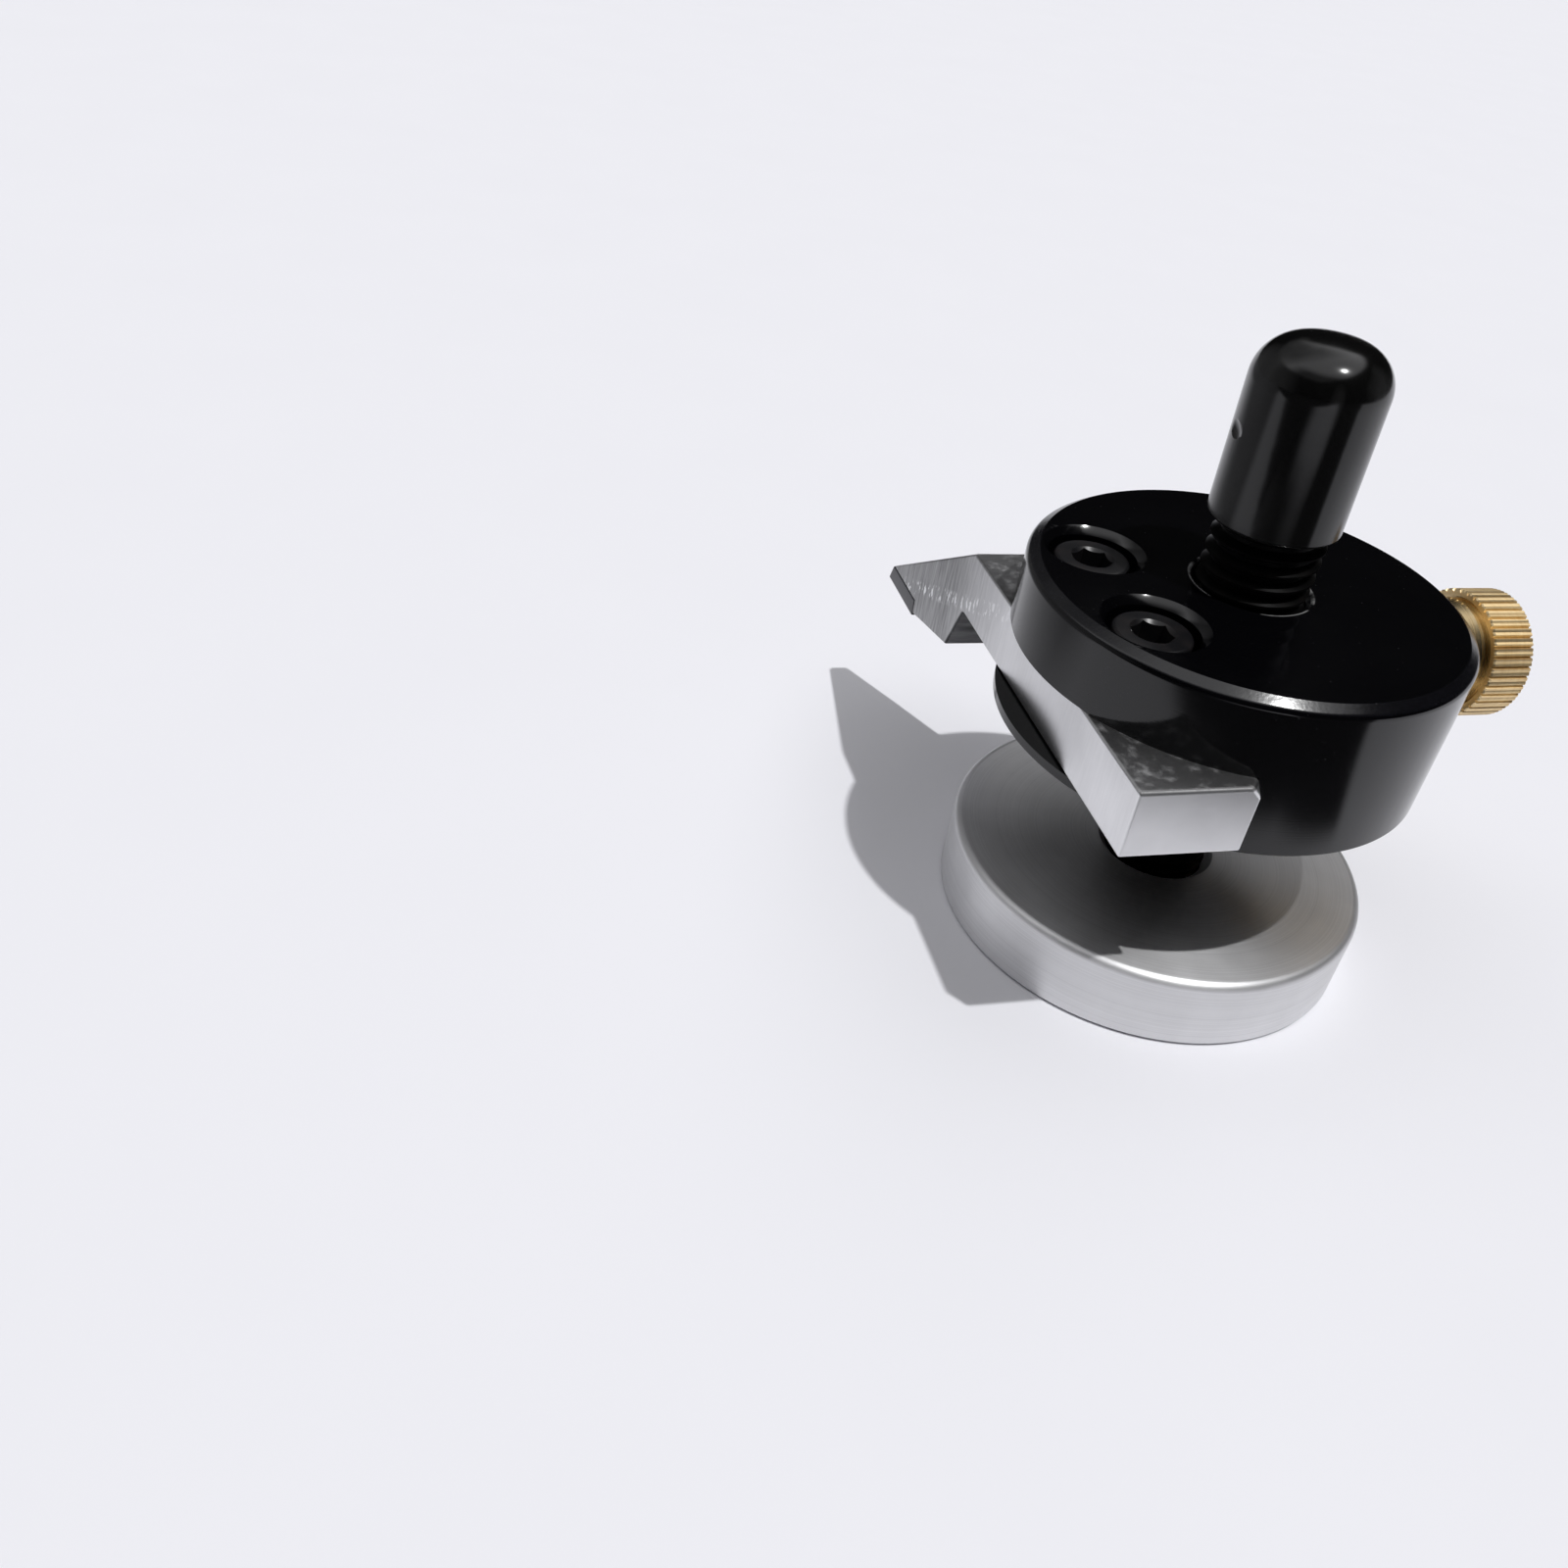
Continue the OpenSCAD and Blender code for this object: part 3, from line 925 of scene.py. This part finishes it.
class ScribeBody(bpy.types.Operator):
    """Turns the body and cuts its slot, its counterbores and the knurled screw's hole."""

    bl_idname = "scribe.body"
    bl_label = "Body"
    bl_options = {"REGISTER", "UNDO"}

    def execute(self, context):
        sizes = context.scene.scribe_sizes
        colours = context.scene.scribe_colours
        low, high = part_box("body")
        bar_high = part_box("scriber_bar")[1]
        radius = high.x
        outline = [
            (sizes.bore, low.z + sizes.body_mouth),
            (sizes.bore + sizes.body_mouth, low.z),
            (radius - sizes.body_foot, low.z),
            (radius, low.z + sizes.body_foot),
            *rim_outline(sizes),
            (sizes.bore + sizes.body_mouth, high.z),
            (sizes.bore, high.z - sizes.body_mouth),
            (sizes.bore, low.z + sizes.body_mouth),
        ]
        piece = turned(outline, UPRIGHT, DISC_STEPS)
        reach = radius + OVERSHOOT
        slot_low = Vector((-reach, -reach, low.z + sizes.flange))
        slot_high = Vector((bar_high.x + sizes.slot_play, reach, bar_high.z))
        carve(piece, block(slot_low, slot_high))
        head_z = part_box("clamp_screws")[1].z - sizes.clamp_head
        wide = sizes.counterbore + sizes.counterbore_mouth + OVERSHOOT
        counterbore = [
            (0, bar_high.z - OVERSHOOT),
            (sizes.shank_hole, bar_high.z - OVERSHOOT),
            (sizes.shank_hole, head_z),
            (sizes.counterbore, head_z),
            (sizes.counterbore, high.z - sizes.counterbore_mouth),
            (wide, high.z + OVERSHOOT),
            (0, high.z + OVERSHOOT),
        ]
        for axis in clamp_axes(sizes):
            carve(piece, turned(counterbore, axis, SMALL_STEPS))
        carve(piece, turned(rod(sizes.lock_hole, 0, reach), CROSSWISE, SMALL_STEPS))
        soften(piece, sizes.edge_break)
        material = black_body(colours.body, colours.wear_and_painted_light, sizes)
        dress(piece, "body_turned", "body", "carrier", material)
        return {"FINISHED"}


def rod(radius, low, high):
    """The outline of a plain round rod."""
    return [(0, low), (radius, low), (radius, high), (0, high)]


def clamp_axes(sizes):
    """The axes of both clamp screws."""
    low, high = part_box("clamp_screws")
    middle = (low.x + high.x) / 2
    return [
        Axis(Vector((middle, side * sizes.clamp_gap / 2, 0)), UPRIGHT.along, UPRIGHT.out)
        for side in (-1, 1)
    ]


def scriber_slab(sizes, profile):
    """Fills a profile of places along Y and heights, and pulls it across to the narrowing far side."""
    low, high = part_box("scriber_bar")
    point_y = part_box("carbide_tip")[1].y
    piece = draw([Vector((low.x, y, z)) for y, z in profile])
    bpy.ops.mesh.select_all(action="SELECT")
    bpy.ops.mesh.edge_face_add()
    bpy.ops.mesh.extrude_region_move(TRANSFORM_OT_translate={"value": (high.x - low.x, 0, 0)})
    taper_from = Vector((high.x, sizes.bar_reach + sizes.taper_start, 0))
    taper_to = Vector((low.x + sizes.nose_width, point_y, 0))
    along = taper_to - taper_from
    bpy.ops.mesh.select_all(action="SELECT")
    bpy.ops.mesh.normals_make_consistent(inside=False)
    slice_off(taper_from, (along.y, -along.x, 0))
    weld()
    return piece


class ScribeBar(bpy.types.Operator):
    """Grinds the scriber bar with its slope, heel and narrowing nose."""

    bl_idname = "scribe.bar"
    bl_label = "Scriber bar"
    bl_options = {"REGISTER", "UNDO"}

    def execute(self, context):
        sizes = context.scene.scribe_sizes
        colours = context.scene.scribe_colours
        low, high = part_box("scriber_bar")
        tip_low, tip_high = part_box("carbide_tip")
        under = high.z - sizes.bar_thickness
        profile = [
            (low.y, under),
            (sizes.bar_reach, under),
            (sizes.bar_reach + sizes.heel_length, high.z - sizes.heel_drop),
            (tip_low.y, tip_low.z + sizes.tip_proud),
            (tip_low.y, tip_high.z),
            (high.y, tip_high.z),
            (sizes.bar_reach, high.z),
            (low.y, high.z),
        ]
        piece = scriber_slab(sizes, profile)
        self.knock(piece, Vector((high.x, low.y, high.z)), sizes.bar_knock)
        soften(piece, sizes.bar_edge, segments=3)
        hole = rod(sizes.clamp_thread + sizes.thread_play, under - OVERSHOOT, high.z + OVERSHOOT)
        for axis in clamp_axes(sizes):
            carve(piece, turned(hole, axis, SMALL_STEPS))
        steel = ground_steel(colours.steel, sizes)
        dress(piece, "scriber_bar_ground", "scriber_bar", "carrier", steel)
        return {"FINISHED"}

    def knock(self, piece, corner, depth):
        """Cuts a small facet across one upper corner of the bar's square end."""
        outward = Vector((1, -1, 1)).normalized()
        take(piece)
        bpy.ops.object.mode_set(mode="EDIT")
        slice_off(corner - outward * depth, outward)
        weld()


class ScribeTip(bpy.types.Operator):
    """Grinds the brazed carbide tip."""

    bl_idname = "scribe.tip"
    bl_label = "Carbide tip"
    bl_options = {"REGISTER", "UNDO"}

    def execute(self, context):
        sizes = context.scene.scribe_sizes
        colours = context.scene.scribe_colours
        low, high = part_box("carbide_tip")
        nose_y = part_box("scriber_bar")[1].y
        profile = [(low.y, low.z), (high.y, low.z), (nose_y, high.z), (low.y, high.z)]
        piece = scriber_slab(sizes, profile)
        soften(piece, sizes.tip_edge)
        material = sintered_carbide(colours.carbide)
        dress(piece, "carbide_tip_ground", "carbide_tip", "carrier", material)
        return {"FINISHED"}


class ScribeClampScrews(bpy.types.Operator):
    """Makes both socket-head screws, with their threads and hexagon sockets."""

    bl_idname = "scribe.clamp_screws"
    bl_label = "Clamp screws"
    bl_options = {"REGISTER", "UNDO"}

    def execute(self, context):
        sizes = context.scene.scribe_sizes
        colours = context.scene.scribe_colours
        low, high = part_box("clamp_screws")
        head_radius = (high.x - low.x) / 2
        head_z = high.z - sizes.clamp_head
        rounding = sizes.clamp_round
        head = [
            (0, head_z),
            (head_radius - rounding / 2, head_z),
            (head_radius, head_z + rounding / 2),
            *arc(head_radius - rounding, high.z - rounding, rounding, 0, 90, parts=5),
            (0, high.z),
        ]
        axis, other = clamp_axes(sizes)
        first = turned(head, axis, SMALL_STEPS)
        carve(first, self.hexagon(sizes, axis.centre, high.z))
        carve(first, self.countersink(sizes, axis, high.z))
        carve(first, threaded(axis, sizes.clamp_thread, sizes.fine_pitch, low.z, head_z + LAP), "UNION")
        second = copied(first, other.centre - axis.centre)
        material = black_oxide("black_oxide", colours.oxide, gloss=0.3)
        for number, piece in enumerate((first, second), 1):
            name = f"clamp_screw_{number}"
            dress(piece, name, "clamp_screws", "carrier", material)
        return {"FINISHED"}

    def hexagon(self, sizes, centre, top):
        """A hexagonal cutter for the socket."""
        settle()
        bpy.ops.mesh.primitive_cylinder_add(
            vertices=6,
            radius=sizes.hex_flats / math.sqrt(3),
            depth=sizes.hex_depth + OVERSHOOT,
            location=(centre.x, centre.y, top + (OVERSHOOT - sizes.hex_depth) / 2),
        )
        bpy.ops.object.transform_apply(location=True, rotation=True, scale=True)
        return bpy.context.object

    def countersink(self, sizes, axis, top):
        """A cone that breaks the socket's upper edges."""
        lip = top + OVERSHOOT * SINK_SLOPE
        cone = [(0, top - sizes.hex_mouth * SINK_SLOPE), (sizes.hex_mouth + OVERSHOOT, lip), (0, lip)]
        return turned(cone, axis, SMALL_STEPS)


class ScribeThumbScrew(bpy.types.Operator):
    """Turns the brass screw and cuts its knurl."""

    bl_idname = "scribe.thumb_screw"
    bl_label = "Knurled screw"
    bl_options = {"REGISTER", "UNDO"}

    def execute(self, context):
        sizes = context.scene.scribe_sizes
        colours = context.scene.scribe_colours
        low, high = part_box("thumb_screw")
        collar_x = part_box("body")[1].x + sizes.collar_gap
        knurl_x = collar_x + sizes.collar_width
        edge = sizes.collar_edge
        neck_x = knurl_x - sizes.neck_width
        neck_radius = sizes.collar_radius - sizes.neck_depth
        collar = [
            (0, collar_x),
            (sizes.collar_radius - edge, collar_x),
            (sizes.collar_radius, collar_x + edge),
            (sizes.collar_radius, neck_x - edge),
            (sizes.collar_radius - edge, neck_x),
            (neck_radius, neck_x),
            (neck_radius, knurl_x + LAP),
            (0, knurl_x + LAP),
        ]
        piece = turned(collar, CROSSWISE, SMALL_STEPS)
        carve(piece, self.knurled_ring(sizes, high.y, knurl_x, high.x), "UNION")
        stud = threaded(CROSSWISE, sizes.lock_thread, sizes.fine_pitch, low.x, collar_x + LAP)
        carve(piece, stud, "UNION")
        material = turned_brass(colours.brass, sizes.collar_radius)
        dress(piece, "thumb_screw_knurled", "thumb_screw", "thumb_screw", material)
        return {"FINISHED"}

    def knurled_ring(self, sizes, radius, start, end):
        """A ring with straight ridges, chamfered at both ends."""
        chamfer = sizes.knurl_chamfer
        settle()
        bpy.ops.mesh.primitive_cylinder_add(
            vertices=RIDGE_SIDES * sizes.knurl_count,
            radius=radius,
            depth=end - start - 2 * chamfer,
            location=((start + end) / 2, 0, LOCK_Z),
            rotation=(0, math.pi / 2, 0),
        )
        ring = bpy.context.object
        bpy.ops.object.transform_apply(location=True, rotation=True, scale=True)
        bpy.ops.object.mode_set(mode="EDIT")
        self.squeeze_ends(ring, radius, chamfer, (start + chamfer, end - chamfer))
        step = math.tau / (RIDGE_SIDES * sizes.knurl_count)

        def corner(point):
            """The number of a point's corner within its ridge."""
            return round(math.atan2(point.z - LOCK_Z, point.y) / step) % RIDGE_SIDES

        for number, depth in ((0, sizes.knurl_depth), (RIDGE_SIDES // 2, sizes.knurl_line)):
            pick(ring, "VERT", lambda point: corner(point) == number)
            share = (radius - depth) / radius
            bpy.ops.transform.resize(value=(1, share, share), center_override=(0, 0, LOCK_Z))
        weld()
        return ring

    def squeeze_ends(self, ring, radius, chamfer, faces_x):
        """Pulls both end faces of the ring out into chamfers."""
        narrow = (radius - chamfer) / radius
        for way, face_x in zip((-1, 1), faces_x):
            pick(ring, "FACE", lambda middle: abs(middle.x - face_x) < WELD)
            bpy.ops.mesh.extrude_region_move(TRANSFORM_OT_translate={"value": (way * chamfer, 0, 0)})
            bpy.ops.transform.resize(value=(1, narrow, narrow), center_override=(0, 0, LOCK_Z))


class ScribeLockPad(bpy.types.Operator):
    """Finishes the pad behind the knurled screw."""

    bl_idname = "scribe.lock_pad"
    bl_label = "Lock pad"
    bl_options = {"REGISTER", "UNDO"}

    def execute(self, context):
        tone = context.scene.scribe_colours.nylon
        frame["nodes"]["lock_pad"].material_slots[0].material = plain_nylon(tone)
        return {"FINISHED"}


class ScribeStage(bpy.types.Operator):
    """Sets up the floor, the lights, the world and the camera."""

    bl_idname = "scribe.stage"
    bl_label = "Stage"
    bl_options = {"REGISTER", "UNDO"}

    def execute(self, context):
        studio = context.scene.scribe_studio
        colours = context.scene.scribe_colours
        self.floor(colours.floor)
        self.key(studio)
        self.room(studio, colours.room)
        self.camera(studio)
        context.scene.view_settings.view_transform = "Standard"
        return {"FINISHED"}

    def floor(self, tone):
        """A pale floor that takes the shadow. Glossy faces see painted shade on it in front and on the left.
        """
        settle()
        bpy.ops.mesh.primitive_plane_add(size=FLOOR_SIZE)
        floor = bpy.context.object
        floor.name = "floor"

        def build(wire):
            place, parts = places(wire)
            mirrored = wire.add("ShaderNodeLightPath", output="Is Glossy Ray")
            near = joined(wire, "MAXIMUM", parts, FRONT_NEAR)
            front = near * joined(wire, "MAXIMUM", parts, FRONT_RIGHT)
            window = joined(wire, "MULTIPLY", parts, FRONT_WINDOW)
            left = joined(wire, "MULTIPLY", parts, LEFT_PATCH)
            cloud = grain(wire, place, scale=30, detail=2.0)
            # Painted shade: glossy rays see the floor darkened in front and on the left, where no shadow
            # falls.
            painted_shade = mirrored * wire.math("MAXIMUM", front * (1 - window), left * LEFT_SHARE)
            return {
                "Base Color": mixed(wire, painted_shade + cloud * 0.02, *tints(tone, 1, FLOOR_DARK)),
                "Specular IOR Level": 0.0,
                "Roughness": 0.9,
            }

        floor.data.materials.append(finish("pale_floor", build))

    def key(self, studio):
        """A high key light on the right, small enough for a clear shadow."""
        settle()
        bpy.ops.object.light_add(type="SUN")
        lamp = bpy.context.object
        lamp.name = "key"
        lamp.data.energy = studio.key_strength
        lamp.data.angle = studio.key_size
        lamp.rotation_euler = studio.key_from.to_track_quat("Z", "Y").to_euler()

    def room(self, studio, tint):
        """A dark room with a lighter left wall and a ceiling, bright but for a beam and above the camera."""
        world = bpy.data.worlds.new("room")
        world.use_nodes = True
        tree = world.node_tree
        tree.nodes.clear()
        wire = Wire(tree)
        _, (x, y, up) = places(wire, "Generated")
        away = -studio.camera_place.xy.normalized()
        headings = (x * away.x + y * away.y, y * away.x - x * away.y, up)
        beam = soft(wire, (x, y, up), BEAM)
        above = joined(wire, "MULTIPLY", headings, ABOVE_CAMERA)
        ceiling = joined(wire, "MINIMUM", headings, CEILING)
        ceiling = ceiling * (1 - beam * BEAM_SHADE) * (1 - above * CAMERA_SHADE)
        wall = soft(wire, headings, LEFT_WALL)
        light = studio.backdrop + ceiling * studio.ceiling + wall * studio.wall
        seen = wire.add("ShaderNodeLightPath", output="Is Camera Ray")
        strength = light + seen * (studio.background - light)
        surface = wire.add("ShaderNodeBackground", None, {"Color": (*tint, 1), "Strength": strength})
        wire.add("ShaderNodeOutputWorld", None, {"Surface": surface})
        bpy.context.scene.world = world

    def camera(self, studio):
        """The camera, with its place, turn and lens from the studio's settings."""
        settle()
        bpy.ops.object.camera_add(location=studio.camera_place, rotation=studio.camera_turn)
        camera = bpy.context.object
        camera.data.lens = studio.lens
        camera.data.sensor_width = SENSOR_WIDTH
        camera.data.clip_start = MM
        bpy.context.scene.camera = camera


STEPS = (
    ScribeBase,
    ScribePost,
    ScribeCap,
    ScribeBody,
    ScribeBar,
    ScribeTip,
    ScribeClampScrews,
    ScribeThumbScrew,
    ScribeLockPad,
    ScribeStage,
)


class ScribePanel(bpy.types.Panel):
    """Lists the steps and the sizes in the 3D view's sidebar."""

    bl_idname = "VIEW3D_PT_scribe"
    bl_label = "Centre scribe"
    bl_space_type = "VIEW_3D"
    bl_region_type = "UI"
    bl_category = "Scribe"

    def draw(self, context):
        """Draws a button for each step and a field for each setting."""
        for step in STEPS:
            self.layout.operator(step.bl_idname)
        for group in (context.scene.scribe_sizes, context.scene.scribe_colours, context.scene.scribe_studio):
            for name in group.__annotations__:
                self.layout.prop(group, name)


GROUPS = {
    "scribe_sizes": ScribeSizes,
    "scribe_colours": ScribeColours,
    "scribe_studio": ScribeStudio,
}


def register():
    """Registers the property groups, the operators and the panel."""
    for name, group in GROUPS.items():
        bpy.utils.register_class(group)
        setattr(bpy.types.Scene, name, PointerProperty(type=group))
    for part in (*STEPS, ScribePanel):
        bpy.utils.register_class(part)


def unregister():
    """Takes everything back that register added."""
    for part in (ScribePanel, *reversed(STEPS)):
        bpy.utils.unregister_class(part)
    for name, group in GROUPS.items():
        delattr(bpy.types.Scene, name)
        bpy.utils.unregister_class(group)


def main():
    """Makes every piece and the stage."""
    register()
    bpy.ops.scribe.base()
    bpy.ops.scribe.post()
    bpy.ops.scribe.cap()
    bpy.ops.scribe.body()
    bpy.ops.scribe.bar()
    bpy.ops.scribe.tip()
    bpy.ops.scribe.clamp_screws()
    bpy.ops.scribe.thumb_screw()
    bpy.ops.scribe.lock_pad()
    bpy.ops.scribe.stage()


if __name__ == "__main__":
    main()
